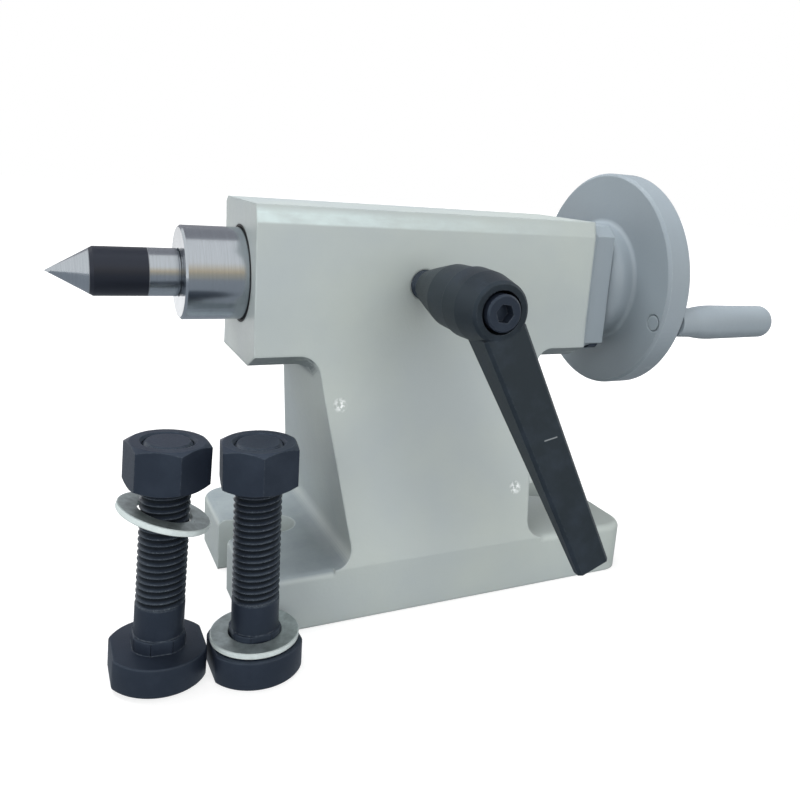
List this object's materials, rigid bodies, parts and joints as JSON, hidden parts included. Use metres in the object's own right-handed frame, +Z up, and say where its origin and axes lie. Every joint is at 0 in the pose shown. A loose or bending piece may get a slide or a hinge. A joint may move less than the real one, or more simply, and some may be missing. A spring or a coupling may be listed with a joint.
{
  "type": "lathe tailstock",
  "caption": "Small lathe tailstock: slotted base and column casting, quill with dead centre, clamp lever, crank handwheel, and T-bolts with nuts beside it.",
  "frame": {"origin": "centre of the base's underside, below the quill's axis", "axes": "+X along the quill towards the handwheel, +Y from the clamp lever's side to the back, +Z up"},
  "size_m": [0.3076, 0.1572, 0.1778],
  "materials": {
    "cast_paint": "semi-gloss",
    "wheel_paint": "semi-gloss",
    "ground_steel": "ground",
    "black_oxide": "satin",
    "zinc": "satin",
    "brass": "satin",
    "rubber": "matte",
    "lever_black": "matte"
  },
  "bodies": {
    "frame": {"body_casting": "cast_paint", "bore_wiper": "rubber", "end_plate": "wheel_paint", "end_plate_screw_1": "black_oxide", "end_plate_screw_2": "black_oxide", "end_plate_screw_3": "black_oxide", "end_plate_screw_4": "black_oxide", "clamp_shoe": "brass", "guide_screw": "black_oxide", "thrust_washer": "brass"},
    "quill_unit": {"quill": "ground_steel", "feed_nut": "brass"},
    "centre": {"dead_centre": "ground_steel"},
    "wheel_unit": {"feed_screw": "ground_steel", "handwheel": "wheel_paint", "wheel_key": "ground_steel", "wheel_washer": "zinc", "wheel_nut": "zinc", "handle_stud": "ground_steel"},
    "grip": {"handle_grip": "wheel_paint"},
    "lever_base": {"lever_insert": "black_oxide", "lever_screw": "black_oxide"},
    "lever_handle": {"lever_arm": "lever_black"},
    "bolt_left": {"t_bolt_left": "black_oxide"},
    "nut_left": {"hex_nut_left": "black_oxide"},
    "flat_left": {"washer_left": "zinc"},
    "bolt_right": {"t_bolt_right": "black_oxide"},
    "nut_right": {"hex_nut_right": "black_oxide"},
    "flat_right": {"washer_right": "zinc"}
  },
  "joints": [
    {"name": "wheel_turn", "type": "hinge", "parent": "frame", "child": "wheel_unit", "pos_m": [0.09, 0, 0.128], "axis": [-1, 0, 0], "range_deg": [-1620, 1980]},
    {"name": "quill_feed", "type": "slide", "parent": "frame", "child": "quill_unit", "axis": [-1, 0, 0], "range_m": [-0.01801, 0.02201]},
    {"name": "centre_pull", "type": "slide", "parent": "quill_unit", "child": "centre", "axis": [-1, 0, 0], "range_m": [0, 0.07]},
    {"name": "grip_spin", "type": "hinge", "parent": "wheel_unit", "child": "grip", "pos_m": [0.13, -0.04225, 0.11468], "axis": [1, 0, 0], "continuous": true},
    {"name": "clamp_turn", "type": "hinge", "parent": "frame", "child": "lever_base", "pos_m": [-0.0145, -0.03, 0.128], "axis": [0, -1, 0], "range_deg": [0, 75]},
    {"name": "lever_lift", "type": "slide", "parent": "lever_base", "child": "lever_handle", "axis": [0, -1, 0], "range_m": [0, 0.004], "stiffness_N_per_m": 2000, "springref_m": -0.003},
    {"name": "bolt_left_lift", "type": "slide", "parent": "frame", "child": "bolt_left", "axis": [0, 0, 1], "range_m": [0, 0.05]},
    {"name": "nut_left_spin", "type": "hinge", "parent": "bolt_left", "child": "nut_left", "pos_m": [-0.11597, -0.0556, 0.075], "axis": [0.0488, 0, 0.9988], "continuous": true},
    {"name": "washer_left_slide", "type": "slide", "parent": "bolt_left", "child": "flat_left", "axis": [-0.0488, 0, -0.9988], "range_m": [-0.0047, 0.036]},
    {"name": "bolt_right_lift", "type": "slide", "parent": "frame", "child": "bolt_right", "axis": [0, 0, 1], "range_m": [0, 0.04]},
    {"name": "nut_right_spin", "type": "hinge", "parent": "bolt_right", "child": "nut_right", "pos_m": [-0.0882, -0.0618, 0.075], "axis": [0, 0, 1], "continuous": true},
    {"name": "washer_right_slide", "type": "slide", "parent": "bolt_right", "child": "flat_right", "axis": [0, 0, 1], "range_m": [0, 0.036]}
  ],
  "couplings": [
    {"joint": "quill_feed", "follows": "wheel_turn", "m_per_rad": 0.00063662}
  ]
}
